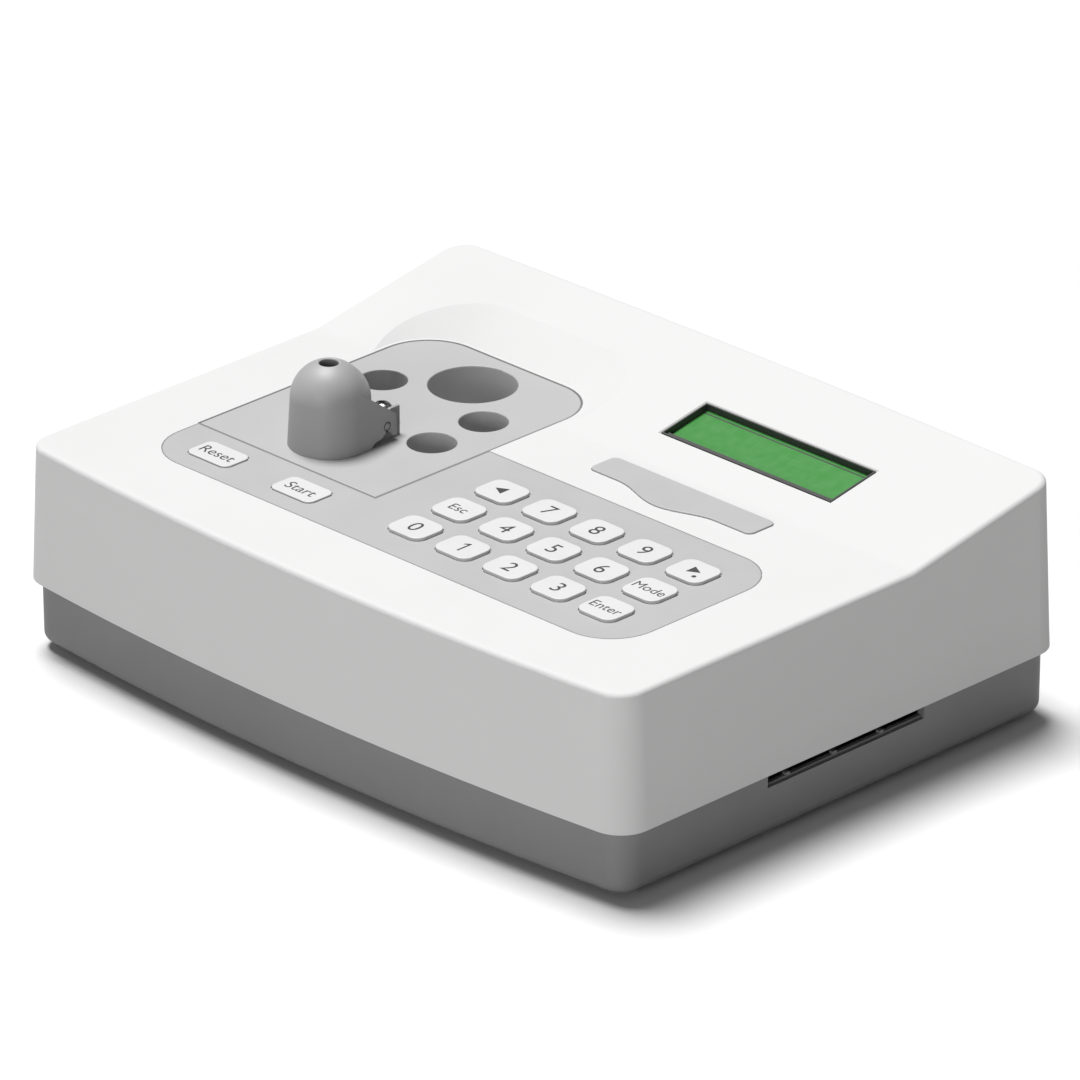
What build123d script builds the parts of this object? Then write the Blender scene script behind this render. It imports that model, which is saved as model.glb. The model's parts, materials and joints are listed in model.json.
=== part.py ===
"""Benchtop single-channel coagulation analyser: two-part moulded case, heated well block, hinged
light shield, keypad, sloping display and rear connector panel.

Frame: millimetres, +X to the operator's right, +Y to the back, +Z up. The origin is on the bench,
under the middle of the case.
"""

from build123d import *
from math import cos, radians, sin, tan
import os

os.makedirs("parts", exist_ok=True)

# ---------------------------------------------------------------- driving dimensions
WIDTH = 235.0
DEPTH = 179.2
FRONT_BOW = 6.3
BACK_BOW = 1.44
CORNER_R = 9.5
DRAFT = 2.17
COVER_WALL = 3.0
BASE_WALL = 2.5

FOOT_H = 2.0
BASE_H = 19.4
SEAM_Z = FOOT_H + BASE_H
DECK_Z = FOOT_H + 60.0
BEND_Y = 29.2
SLOPE = 10.2
BEND_R = 10.0
TOP_EDGE_R = 1.5

BASE_INSET = 2.4
BASE_TAPER = 0.59
BASE_EDGE_R = 3.0
TONGUE_INSET = 3.3
TONGUE_H = 3.0

# Well plate, with the dome axis and well centres on it
PLATE_X = (-91.3, -21.6)
PLATE_Y = (-39.2, 49.6)
PLATE_R = 15.5
PLATE_RIM = 2.0
PLATE_DEPTH = 5.0
PLATE_LEDGE = 3.0
PLATE_GROOVE = 0.5
BLOCK_X = -56.4
DOME_Y = -23.0
WELL_BOTTOM = 33.0
LINER_T = 1.0
LINER_GAP = 0.05
TUBE_WELL_R = 7.0
TUBE_WELLS = [(-76.4, 17.05), (-36.4, 17.05), (-76.4, -3.0), (-36.4, -3.0)]
BOTTLE_WELL_R = 12.7
BOTTLE_WELL = (-56.4, 32.6)
CUVETTE_R = 5.25

# Heated block
BLOCK_W = 62.0
BLOCK_Y = (-34.0, 48.4)
BLOCK_Z = (29.0, DECK_Z - PLATE_DEPTH)
OPTICAL_Z = 44.0
OPTIC_BORE_R = 2.5
HOLDER_R = 4.0
HOLDER_LEN = 13.4

# Dish that keeps the deck level round the back of the well plate
DISH_MARGIN = 1.5
DISH_RAMP = 24.0
DISH_RISE = 8.0
DISH_LIFT = 0.02

# Light shield, its hinge and bracket (heights above the deck)
DOME_R_LOW = 11.7
DOME_R = 10.9
DOME_WALL = 1.6
DOME_SHOULDER = 13.8
DOME_GAP = 0.05
PORT_R = 2.7
PORT_COLLAR_R = 5.0
PIN_Y = DOME_Y + 11.4
PIN_Z = DECK_Z + 4.8
PIN_R = 1.4
PIN_PLAY = 0.05
PIN_NOSE_R = 0.9
PIN_NOSE = 0.7
DOME_LEAN = (1.0, -0.9)
LEAN_FROM = 9.0
CHEEK_IN = 9.6
CHEEK_INSET = 0.05
CHEEK_END = 14.8
CHEEK_TOP = (18.6, 7.7)
BRACKET_OUT = 9.3
BRACKET_T = 1.0
BRACKET_BACK = DOME_Y + 18.0
BRACKET_TOP = 8.6
SADDLE_H = 3.3
BRACKET_SCREW_Y = DOME_Y + 20.25

# Keypad panel and keys
PANEL_X = (-91.3, 92.0)
PANEL_Y = (-62.3, 4.06)
PANEL_R = 15.0
PANEL_T = 0.5
PANEL_GAP = 0.12
KEY_PITCH_X = 18.23
KEY_PITCH_Y = 16.56
KEY_ORIGIN = (1.46, -46.34)
KEY_SIZE = (13.15, 11.65)
KEY_R = 3.25
KEY_RISE = 0.95
KEY_TRAVEL = 0.6
WIDE_KEY_SIZE = (16.1, 10.1)
WIDE_KEY_R = 2.4
WIDE_KEY_RISE = 0.45
WIDE_KEY_TRAVEL = 0.3
KEY_GAP = 0.3
KEY_EDGE_R = 0.25
KEY_FLANGE = 1.1
FLANGE_T = 1.2
KEY_NAMES = [
    ["key_0", "key_1", "key_2", "key_3", "key_enter"],
    ["key_escape", "key_4", "key_5", "key_6", "key_mode"],
    ["key_left", "key_7", "key_8", "key_9", "key_right"],
]
WIDE_KEYS = {"key_reset": (-71.9, -50.6), "key_start": (-38.8, -50.6)}
KEY_BOARD_Z = (49.4, 51.0)
SWITCH_SIZE = (6.0, 6.0, 3.4)
PLUNGER_R = 1.7
PLUNGER_TOP = 55.7
KEY_BOARD_BOSSES = [(-12.5, -55), (-12.5, -4), (86.5, -55), (86.5, -4), (-86, -50.6), (-55.4, -50.6)]

# Display on the slope (places along the slope are measured from the bend)
WINDOW = (64.7, 18.34)
WINDOW_X = 39.55
WINDOW_S = 22.99
BEZEL = (71.2, 25.2, 5.2)
BEZEL_DROP = 1.85
RIM_T = 0.45
RIM_GAP = 0.05
RIM_DROP = 0.1
LEDGE = (62.8, 1.2)
LEDGE_DROP = 0.55
GLASS = (66.6, 20.6, 1.1)
GLASS_DROP = 0.3
DISPLAY_BOARD = (80.0, 36.0, 1.6)
DISPLAY_HOLES = (75.0, 31.0)

# Nameplate on the deck
NAME_X = (6.5, 68.2)
NAME_Y = (15.0, 25.6)
NAME_BULGE_X = (17.5, 55.5)
NAME_BULGE_Y = 10.4
NAME_R = 2.2
NAME_T = 0.9
NAME_SINK = 0.4

# Base details
SCREW_POSTS = [(-104, -73), (104, -73), (-104, 76), (104, 76)]
POST_R = 4.5
FEET = [(-92, -60), (92, -60), (-92, 62), (92, 62)]
FOOT_R = 7.0
FOOT_SEAT = 1.0
VENT_Y = (-25.9, 35.2)
VENT_DROP = 5.2
VENT_SILL_Z = 16.85
VENT_SILL_IN = 1.2
VENT_RIB_Z = 17.6
VENT_RIB_Y = (-17.0, 1.3, 19.5)
VENT_RIB_T = 1.6
MAIN_BOARD_X = (-10.0, 100.0)
MAIN_BOARD_Y = (-55.0, 66.0)
MAIN_BOARD_Z = (10.0, 11.6)
BOARD_POSTS = [(-6, -51), (96, -51), (-6, 62), (96, 62)]
MOTOR_R = 11.2
MOTOR_Z = (FOOT_H + BASE_WALL, 22.0)
CUP_R = (11.4, 13.4)
SHAFT_BOTTOM = 14.0
ROTOR_R = 9.0
ROTOR_Z = (24.5, 27.5)
MAGNET_R = 2.0
MAGNET_X = 5.5
CHIPS = [(48, 2, 14, 14, 1.6), (20, 8, 10, 7.5, 2.3), (20, -14, 10, 7.5, 2.3), (72, -20, 10, 7.5, 2.3)]
CONNECTORS = {"display": (37, 40), "keypad": (66, -38), "block": (-3, -21)}

# Rear connector panel
REAR_PANEL_X = 50.0
REAR_PANEL_Y = (82.2, 84.2)
REAR_PANEL_Z = (6.0, 54.0)
REAR_WINDOW = (92.0, 24.0)
CONNECTOR_Z = 38.0
SWITCH_X = -32.0
INLET_X = -6.0
SERIAL_X = 25.0
ROCKER_Y = REAR_PANEL_Y[1] - 1.5
ROCKER_TILT = 6.0

slope_plane = Plane(
    origin=(0, BEND_Y, DECK_Z), x_dir=(1, 0, 0), z_dir=(0, -sin(radians(SLOPE)), cos(radians(SLOPE)))
)
display_plane = Plane(
    origin=slope_plane.from_local_coords((WINDOW_X, WINDOW_S, 0)), x_dir=(1, 0, 0), z_dir=slope_plane.z_dir
)
plate_centre = ((PLATE_X[0] + PLATE_X[1]) / 2, (PLATE_Y[0] + PLATE_Y[1]) / 2)
plate_size = (PLATE_X[1] - PLATE_X[0], PLATE_Y[1] - PLATE_Y[0])
deck_under = DECK_Z - COVER_WALL
key_places = {}
for row, names in enumerate(KEY_NAMES):
    for column, name in enumerate(names):
        key_places[name] = (KEY_ORIGIN[0] + column * KEY_PITCH_X, KEY_ORIGIN[1] + row * KEY_PITCH_Y)


def save(piece, name):
    """Label one finished piece and write it."""
    piece.label = name
    export_step(piece, f"parts/{name}.step")


def box_between(low, high):
    """A box from its lowest to its highest corner."""
    with BuildPart() as block:
        with BuildSketch(Plane.XY.offset(low[2])):
            with Locations(((low[0] + high[0]) / 2, (low[1] + high[1]) / 2)):
                Rectangle(high[0] - low[0], high[1] - low[1])
        extrude(amount=high[2] - low[2])
    return block.part


def case_outline(inset):
    """Plan of the case, with bowed front and back, drawn in from its widest line."""
    side = WIDTH / 2 - inset
    front = -DEPTH / 2 + inset
    back = DEPTH / 2 - inset
    with BuildSketch() as plan:
        with BuildLine():
            ThreePointArc((-side, front + FRONT_BOW), (0, front), (side, front + FRONT_BOW))
            Line((side, front + FRONT_BOW), (side, back - BACK_BOW))
            ThreePointArc((side, back - BACK_BOW), (0, back), (-side, back - BACK_BOW))
            Line((-side, back - BACK_BOW), (-side, front + FRONT_BOW))
        make_face()
        fillet(plan.vertices(), CORNER_R - inset)
    return plan.sketch


def case_block(inset, drop):
    """Solid of the upper case, drawn in by inset at the walls and by drop at the deck and slope."""
    bend = BEND_Y + drop * tan(radians(SLOPE / 2))
    reach = DEPTH
    with BuildPart() as block:
        with BuildSketch(Plane.XY.offset(SEAM_Z)):
            add(case_outline(inset))
        extrude(amount=DECK_Z, taper=DRAFT)
        with BuildSketch(Plane.YZ):
            with BuildLine():
                FilletPolyline(
                    (-reach, DECK_Z - drop),
                    (bend, DECK_Z - drop),
                    (reach, DECK_Z - drop + (reach - bend) * tan(radians(SLOPE))),
                    radius=BEND_R,
                )
                Polyline(
                    (reach, DECK_Z - drop + (reach - bend) * tan(radians(SLOPE))),
                    (reach, 0),
                    (-reach, 0),
                    (-reach, DECK_Z - drop),
                )
            make_face()
        extrude(amount=WIDTH, both=True, mode=Mode.INTERSECT)
    return block.part


def plate_outline(grow):
    """Outline of the well plate, square at the front and rounded at the back."""
    with BuildSketch() as plan:
        with Locations(plate_centre):
            Rectangle(plate_size[0] + 2 * grow, plate_size[1] + 2 * grow)
        fillet(plan.vertices().group_by(Axis.Y)[-1], PLATE_R + grow)
    return plan.sketch


def well_openings(grow):
    """Circles of the four tube wells, the bottle well and the measuring well, drawn out by grow."""
    with BuildSketch() as plan:
        with Locations(*TUBE_WELLS):
            Circle(TUBE_WELL_R + grow)
        with Locations(BOTTLE_WELL):
            Circle(BOTTLE_WELL_R + grow)
        with Locations((BLOCK_X, DOME_Y)):
            Circle(CUVETTE_R + grow)
    return plan.sketch


def dish_block(extra):
    """Shallow dish with sloping sides, grown outwards by extra."""
    run = DISH_RISE / tan(radians(DISH_RAMP))
    margin = DISH_MARGIN + extra * tan(radians((90 - DISH_RAMP) / 2))
    floor = DECK_Z + DISH_LIFT - extra
    with BuildPart() as dish:
        with BuildSketch(Plane.XY.offset(floor)):
            with Locations(plate_centre):
                RectangleRounded(plate_size[0] + 2 * margin, plate_size[1] + 2 * margin, PLATE_R + margin)
        with BuildSketch(Plane.XY.offset(floor + DISH_RISE)):
            with Locations(plate_centre):
                spread = margin + run
                RectangleRounded(plate_size[0] + 2 * spread, plate_size[1] + 2 * spread, PLATE_R + spread)
        loft(ruled=True)
    return dish.part


def panel_outline(grow):
    """L-shaped outline of the keypad panel, which stops at the groove round the well plate."""
    width = PANEL_X[1] - PANEL_X[0]
    depth = PANEL_Y[1] - PANEL_Y[0]
    centre = ((PANEL_X[0] + PANEL_X[1]) / 2, (PANEL_Y[0] + PANEL_Y[1]) / 2)
    with BuildSketch() as plan:
        with Locations(centre):
            Rectangle(width + 2 * grow, depth + 2 * grow)
        fillet(plan.vertices().group_by(Axis.X)[-1], PANEL_R + grow)
        fillet(plan.vertices().group_by(Axis.Y)[0].group_by(Axis.X)[0], PANEL_R + grow)
        add(plate_outline(PLATE_GROOVE + PANEL_GAP - grow), mode=Mode.SUBTRACT)
        strip = 2 * (PLATE_Y[1] - PLATE_Y[0] + PLATE_GROOVE + PANEL_GAP - grow)
        with Locations((PANEL_X[0] - 1, PLATE_Y[1])):
            Rectangle(4, strip, mode=Mode.SUBTRACT)
    return plan.sketch


def key_openings(grow):
    """Outlines of all the keys, drawn out by grow."""
    with BuildSketch() as plan:
        with Locations(*key_places.values()):
            RectangleRounded(KEY_SIZE[0] + 2 * grow, KEY_SIZE[1] + 2 * grow, KEY_R + grow)
        with Locations(*WIDE_KEYS.values()):
            wide, deep = WIDE_KEY_SIZE
            RectangleRounded(wide + 2 * grow, deep + 2 * grow, WIDE_KEY_R + grow)
    return plan.sketch


def name_outline(grow):
    """Outline of the nameplate: a rounded bar with a shallow swell along its front edge."""
    left, right = NAME_X[0] - grow, NAME_X[1] + grow
    front, back = NAME_Y[0] - grow, NAME_Y[1] + grow
    middle = (NAME_BULGE_X[0] + NAME_BULGE_X[1]) / 2
    shoulder = (NAME_BULGE_X[1] - NAME_BULGE_X[0]) / 4
    dip = (NAME_BULGE_Y - grow - front) / 2
    with BuildSketch() as plan:
        with BuildLine():
            Polyline((NAME_BULGE_X[0], front), (left, front), (left, back), (right, back), (right, front),
                     (NAME_BULGE_X[1], front))
            Spline(
                (NAME_BULGE_X[1], front),
                (middle + shoulder, front + dip),
                (middle, front + 2 * dip),
                (middle - shoulder, front + dip),
                (NAME_BULGE_X[0], front),
                tangents=[(-1, 0), (-1, 0)],
            )
        make_face()
        corners = [v for v in plan.vertices() if abs(v.X - left) < 0.01 or abs(v.X - right) < 0.01]
        fillet(corners, NAME_R)
    return plan.sketch


def screw(shaft_r, length, head_r, head_h):
    """Pan-head cross-slot screw: head above z = 0, shaft below."""
    with BuildPart() as body:
        with BuildSketch(Plane.XZ):
            with BuildLine():
                Polyline((0, -length), (shaft_r * 0.7, -length), (shaft_r, -length + shaft_r * 0.6))
                Line((shaft_r, -length + shaft_r * 0.6), (shaft_r, 0))
                Line((shaft_r, 0), (head_r, 0))
                Line((head_r, 0), (head_r, head_h * 0.4))
                ThreePointArc((head_r, head_h * 0.4), (head_r * 0.72, head_h * 0.85), (0, head_h))
                Line((0, head_h), (0, -length))
            make_face()
        revolve(axis=Axis.Z)
        with BuildSketch(Plane.XY.offset(head_h * 0.45)):
            Rectangle(head_r * 1.2, head_r * 0.28)
            Rectangle(head_r * 0.28, head_r * 1.2)
        extrude(amount=head_h, mode=Mode.SUBTRACT)
    return body.part


def ribbon(plane, points, radii, width, thickness):
    """Flat cable: a thin strip along straight runs and arcs in one plane, extruded to its width."""
    with BuildPart() as strip:
        with BuildSketch(plane):
            with BuildLine():
                FilletPolyline(*points, radius=radii)
            trace(line_width=thickness)
        extrude(amount=width)
    return strip.part


# ---------------------------------------------------------------- upper case
outer_block = case_block(0, 0)
cavity_block = case_block(COVER_WALL, COVER_WALL)

with BuildPart() as cover_posts:
    with BuildSketch(Plane.XY.offset(SEAM_Z + 0.6)):
        with Locations(*SCREW_POSTS):
            Circle(POST_R)
    extrude(amount=DECK_Z)
    with BuildSketch(Plane.XY.offset(KEY_BOARD_Z[1])):
        with Locations(*KEY_BOARD_BOSSES):
            Circle(2.6)
    extrude(amount=deck_under - KEY_BOARD_Z[1] + COVER_WALL / 2)
    with BuildSketch(display_plane.offset(-BEZEL_DROP - BEZEL[2])):
        with GridLocations(*DISPLAY_HOLES, 2, 2):
            Circle(2.5)
    extrude(amount=BEZEL[2])
    add(outer_block, mode=Mode.INTERSECT)

with BuildPart() as cavity:
    add(cavity_block)
    add(dish_block(COVER_WALL), mode=Mode.SUBTRACT)

with BuildPart() as top_cover:
    add(outer_block)
    rim = [
        e
        for e in top_cover.edges()
        if e.bounding_box().min.Z > DECK_Z - 0.5
        and not (abs(e.center().Y - BEND_Y) < BEND_R and e.bounding_box().size.X > WIDTH / 2)
    ]
    fillet(rim, TOP_EDGE_R)
    add(dish_block(0), mode=Mode.SUBTRACT)
    add(cavity.part, mode=Mode.SUBTRACT)
    add(cover_posts.part)
    # pilot holes for the case, key board and display screws
    with BuildSketch(Plane.XY.offset(SEAM_Z)):
        with Locations(*SCREW_POSTS):
            Circle(1.5)
    extrude(amount=12, mode=Mode.SUBTRACT)
    with BuildSketch(Plane.XY.offset(KEY_BOARD_Z[1])):
        with Locations(*KEY_BOARD_BOSSES):
            Circle(1.0)
    extrude(amount=6, mode=Mode.SUBTRACT)
    with BuildSketch(display_plane.offset(-BEZEL_DROP - BEZEL[2])):
        with GridLocations(*DISPLAY_HOLES, 2, 2):
            Circle(1.0)
    extrude(amount=4, mode=Mode.SUBTRACT)
    # pocket, ledge and opening for the well plate
    with BuildSketch(Plane.XY.offset(DECK_Z - PLATE_RIM)):
        add(plate_outline(PLATE_GROOVE))
    extrude(amount=DECK_Z, mode=Mode.SUBTRACT)
    with BuildSketch(Plane.XY.offset(deck_under - 1)):
        add(plate_outline(-PLATE_LEDGE))
    extrude(amount=DECK_Z, mode=Mode.SUBTRACT)
    # recess for the keypad panel, and the key openings
    with BuildSketch(Plane.XY.offset(DECK_Z - PANEL_T)):
        add(panel_outline(PANEL_GAP))
    extrude(amount=5, mode=Mode.SUBTRACT)
    with BuildSketch(Plane.XY.offset(deck_under - 1)):
        add(key_openings(KEY_FLANGE + KEY_GAP))
    extrude(amount=5, mode=Mode.SUBTRACT)
    # shallow seat for the nameplate
    with BuildSketch(Plane.XY.offset(DECK_Z - NAME_SINK)):
        add(name_outline(0.1))
    extrude(amount=5, mode=Mode.SUBTRACT)
    # display window with bevelled edges, and the pocket behind it
    with BuildSketch(display_plane.offset(-COVER_WALL - 1)):
        Rectangle(*WINDOW)
    extrude(amount=COVER_WALL + 3, mode=Mode.SUBTRACT)
    with BuildSketch(display_plane.offset(-0.6)):
        Rectangle(*WINDOW)
    with BuildSketch(display_plane.offset(0.2)):
        Rectangle(WINDOW[0] + 1.6, WINDOW[1] + 1.6)
    loft(ruled=True, mode=Mode.SUBTRACT)
    with BuildSketch(display_plane.offset(-BEZEL_DROP + 0.05)):
        Rectangle(BEZEL[0] + 0.8, BEZEL[1] + 0.8)
    extrude(amount=-3, mode=Mode.SUBTRACT)
    # window in the back wall over the connectors
    with BuildSketch(Plane.XZ.offset(-DEPTH / 2 - 5)):
        with Locations((0, CONNECTOR_Z)):
            RectangleRounded(REAR_WINDOW[0], REAR_WINDOW[1], 3)
    extrude(amount=14, mode=Mode.SUBTRACT)
save(top_cover.part, "top_cover")

# ---------------------------------------------------------------- lower case
with BuildPart() as base_shell:
    with BuildSketch(Plane.XY.offset(FOOT_H)):
        add(case_outline(BASE_INSET + BASE_H * tan(radians(BASE_TAPER))))
    extrude(amount=BASE_H, taper=-BASE_TAPER)
    fillet(base_shell.edges().group_by(Axis.Z)[0], BASE_EDGE_R)
    with BuildSketch(Plane.XY.offset(SEAM_Z - 3)):
        add(case_outline(TONGUE_INSET))
    extrude(amount=3 + TONGUE_H)
    with BuildSketch(Plane.XY.offset(FOOT_H + BASE_WALL)):
        add(case_outline(BASE_INSET + BASE_WALL))
    extrude(amount=BASE_H + TONGUE_H, mode=Mode.SUBTRACT)
    # screw columns, board posts and the cup for the stirrer motor
    with BuildSketch(Plane.XY.offset(FOOT_H + 1)):
        with Locations(*SCREW_POSTS):
            Circle(POST_R)
    extrude(amount=SEAM_Z + 0.6 - FOOT_H - 1)
    with BuildSketch(Plane.XY.offset(FOOT_H + 1)):
        with Locations(*BOARD_POSTS):
            Circle(3)
    extrude(amount=MAIN_BOARD_Z[0] - FOOT_H - 1)
    with BuildSketch(Plane.XY.offset(FOOT_H + 1)):
        with Locations((BLOCK_X, DOME_Y)):
            Circle(CUP_R[1])
    extrude(amount=10)
    with BuildSketch(Plane.XY.offset(FOOT_H + BASE_WALL)):
        with Locations((BLOCK_X, DOME_Y)):
            Circle(CUP_R[0])
    extrude(amount=20, mode=Mode.SUBTRACT)
    # rib that holds the rear panel against the back wall
    rib_y = REAR_PANEL_Y[0] - 0.1
    add(box_between((-REAR_PANEL_X, rib_y - 1.9, FOOT_H + 1), (REAR_PANEL_X, rib_y, 9)))
    # holes
    with BuildSketch(Plane.XY.offset(FOOT_H)):
        with Locations(*SCREW_POSTS):
            Circle(3.1)
    extrude(amount=8, mode=Mode.SUBTRACT)
    with BuildSketch(Plane.XY.offset(FOOT_H)):
        with Locations(*SCREW_POSTS):
            Circle(1.7)
    extrude(amount=BASE_H + 5, mode=Mode.SUBTRACT)
    with BuildSketch(Plane.XY.offset(FOOT_H + BASE_WALL + 0.5)):
        with Locations(*BOARD_POSTS):
            Circle(1.2)
    extrude(amount=10, mode=Mode.SUBTRACT)
    with BuildSketch(Plane.XY.offset(FOOT_H)):
        with Locations(*FEET):
            Circle(FOOT_R + 0.1)
    extrude(amount=FOOT_SEAT, mode=Mode.SUBTRACT)
    # side vents, open up to the seam, with ribs set back in them
    for side in (-1, 1):
        inner = side * (WIDTH / 2 - BASE_INSET - BASE_WALL - 1)
        outer = side * (WIDTH / 2 + 1)
        add(
            box_between(
                (min(inner, outer), VENT_Y[0], SEAM_Z - VENT_DROP), (max(inner, outer), VENT_Y[1], SEAM_Z)
            ),
            mode=Mode.SUBTRACT,
        )
        rib_in = side * (WIDTH / 2 - BASE_INSET - BASE_WALL)
        rib_out = side * (WIDTH / 2 - BASE_INSET - VENT_SILL_IN)
        add(
            box_between(
                (min(rib_in, rib_out), VENT_Y[0], SEAM_Z - VENT_DROP - 1),
                (max(rib_in, rib_out), VENT_Y[1], VENT_SILL_Z),
            )
        )
        for rib_y in VENT_RIB_Y:
            add(
                box_between(
                    (min(rib_in, rib_out), rib_y - VENT_RIB_T / 2, SEAM_Z - VENT_DROP),
                    (max(rib_in, rib_out), rib_y + VENT_RIB_T / 2, VENT_RIB_Z),
                )
            )
    # floor vents under the main board
    with BuildSketch(Plane.XY.offset(FOOT_H)):
        with Locations((45, 5)):
            with GridLocations(8, 40, 8, 2):
                SlotOverall(28, 3, rotation=90)
    extrude(amount=BASE_WALL, mode=Mode.SUBTRACT)
save(base_shell.part, "base_shell")

with BuildPart() as rubber_feet:
    with BuildSketch():
        with Locations(*FEET):
            Circle(FOOT_R)
    extrude(amount=FOOT_H + FOOT_SEAT)
    fillet(rubber_feet.edges().group_by(Axis.Z)[0], 0.7)
save(rubber_feet.part, "rubber_feet")

# ---------------------------------------------------------------- well plate and heated block
plate_screws = [(BLOCK_X - 13, -30.4), (BLOCK_X + 13, -30.4), (BLOCK_X - 27, 41), (BLOCK_X + 27, 41)]

with BuildPart() as well_plate:
    with BuildSketch(Plane.XY.offset(DECK_Z - PLATE_RIM)):
        add(plate_outline(0))
    extrude(amount=PLATE_RIM)
    with BuildSketch(Plane.XY.offset(BLOCK_Z[1])):
        add(plate_outline(-PLATE_LEDGE - 0.3))
    extrude(amount=PLATE_DEPTH - PLATE_RIM)
    with BuildSketch(Plane.XY.offset(BLOCK_Z[1])):
        add(well_openings(0))
        with Locations((BLOCK_X, BRACKET_SCREW_Y)):
            Circle(1.5)
    extrude(amount=PLATE_DEPTH, mode=Mode.SUBTRACT)
    with BuildSketch(Plane.XY.offset(BLOCK_Z[1])):
        with Locations(*plate_screws):
            Circle(1.5)
    extrude(amount=3.5, mode=Mode.SUBTRACT)
    top_edges = well_plate.faces().sort_by(Axis.Z)[-1].edges()
    fillet(top_edges, 0.35)
save(well_plate.part, "well_plate")

block_low = (BLOCK_X - BLOCK_W / 2, BLOCK_Y[0], BLOCK_Z[0])
block_high = (BLOCK_X + BLOCK_W / 2, BLOCK_Y[1], BLOCK_Z[1])

with BuildPart() as heating_block:
    add(box_between(block_low, block_high))
    chamfer(heating_block.edges().filter_by(Axis.Z), 1.5)
    with BuildSketch(Plane.XY.offset(WELL_BOTTOM - LINER_T)):
        add(well_openings(LINER_T + LINER_GAP))
    extrude(amount=BLOCK_Z[1] - WELL_BOTTOM + LINER_T, mode=Mode.SUBTRACT)
    # light path across the measuring well, with a seat for a holder at each end
    with BuildSketch(Plane.YZ.offset(block_low[0])):
        with Locations((DOME_Y, OPTICAL_Z)):
            Circle(OPTIC_BORE_R)
    extrude(amount=BLOCK_W, mode=Mode.SUBTRACT)
    for seat_x in (block_low[0], block_high[0] - HOLDER_LEN):
        with BuildSketch(Plane.YZ.offset(seat_x)):
            with Locations((DOME_Y, OPTICAL_Z)):
                Circle(HOLDER_R)
        extrude(amount=HOLDER_LEN, mode=Mode.SUBTRACT)
    # screws from below, the sensor bore and the bracket screw
    with BuildSketch(Plane.XY.offset(BLOCK_Z[0])):
        with Locations(*plate_screws):
            Circle(2.9)
    extrude(amount=20, mode=Mode.SUBTRACT)
    with BuildSketch(Plane.XY.offset(BLOCK_Z[0])):
        with Locations(*plate_screws):
            Circle(1.7)
    extrude(amount=BLOCK_Z[1] - BLOCK_Z[0], mode=Mode.SUBTRACT)
    with BuildSketch(Plane.XY.offset(BLOCK_Z[0])):
        with Locations((BLOCK_X, 8)):
            Circle(1.6)
    extrude(amount=14, mode=Mode.SUBTRACT)
    with BuildSketch(Plane.XY.offset(BLOCK_Z[1] - 4)):
        with Locations((BLOCK_X, BRACKET_SCREW_Y)):
            Circle(1.5)
    extrude(amount=4, mode=Mode.SUBTRACT)
save(heating_block.part, "heating_block")

with BuildPart() as well_liners:
    with BuildSketch(Plane.XY.offset(WELL_BOTTOM - LINER_T)):
        add(well_openings(LINER_T))
    extrude(amount=BLOCK_Z[1] - WELL_BOTTOM + LINER_T)
    with BuildSketch(Plane.XY.offset(WELL_BOTTOM)):
        add(well_openings(0))
    extrude(amount=BLOCK_Z[1] - WELL_BOTTOM, mode=Mode.SUBTRACT)
    # light path through the measuring well
    with BuildSketch(Plane.YZ.offset(BLOCK_X - 2 * CUVETTE_R)):
        with Locations((DOME_Y, OPTICAL_Z)):
            Circle(OPTIC_BORE_R)
    extrude(amount=4 * CUVETTE_R, mode=Mode.SUBTRACT)
save(well_liners.part, "well_liners")

with BuildPart() as insulation_jacket:
    for gap, mode in ((3.5, Mode.ADD), (1, Mode.SUBTRACT)):
        low = (block_low[0] - gap, block_low[1] - gap, block_low[2])
        high = (block_high[0] + gap, block_high[1] + gap, 56)
        add(box_between(low, high), mode=mode)
    for side_x in (block_low[0] - 3.5, block_high[0]):
        add(
            box_between((side_x, DOME_Y - 9, OPTICAL_Z - 9), (side_x + 3.5, DOME_Y + 9, OPTICAL_Z + 9)),
            mode=Mode.SUBTRACT,
        )
save(insulation_jacket.part, "insulation_jacket")

heater_foil = box_between((BLOCK_X - 24, BLOCK_Y[1], 34), (BLOCK_X + 24, BLOCK_Y[1] + 0.8, 53))
save(heater_foil, "heater_foil")

with BuildPart() as temperature_sensor:
    with BuildSketch(Plane.XY.offset(BLOCK_Z[0] + 0.5)):
        with Locations((BLOCK_X, 8)):
            Circle(1.5)
    extrude(amount=13)
    fillet(temperature_sensor.edges().group_by(Axis.Z)[-1], 1.0)
save(temperature_sensor.part, "temperature_sensor")

# four long screws join the case halves, and four short ones hold the plate on the block
with BuildPart() as case_screws:
    with Locations(*[(x, y, FOOT_H + 8) for x, y in SCREW_POSTS]):
        add(screw(1.5, 20, 2.75, 2.0), rotation=(180, 0, 0))
    with Locations(*[(x, y, BLOCK_Z[0] + 20) for x, y in plate_screws]):
        add(screw(1.5, 11, 2.75, 2.0), rotation=(180, 0, 0))
save(case_screws.part, "case_screws")


def optic(reach):
    """Lamp or detector in its holder, pointing along +X from x = 0 at the block's side face."""
    lens_r = OPTIC_BORE_R - 0.05
    with BuildPart() as body:
        with BuildSketch(Plane.XY):
            with BuildLine():
                Polyline(
                    (0, 0),
                    (0, HOLDER_R - 0.05),
                    (HOLDER_LEN - 0.1, HOLDER_R - 0.05),
                    (HOLDER_LEN - 0.1, lens_r),
                    (reach - lens_r, lens_r),
                )
                RadiusArc((reach - lens_r, lens_r), (reach, 0), lens_r)
                Line((reach, 0), (0, 0))
            make_face()
        revolve(axis=Axis.X)
    return body.part


with BuildPart() as light_source:
    with Locations((block_low[0], DOME_Y, OPTICAL_Z)):
        add(optic(22))
save(light_source.part, "light_source")

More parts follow.
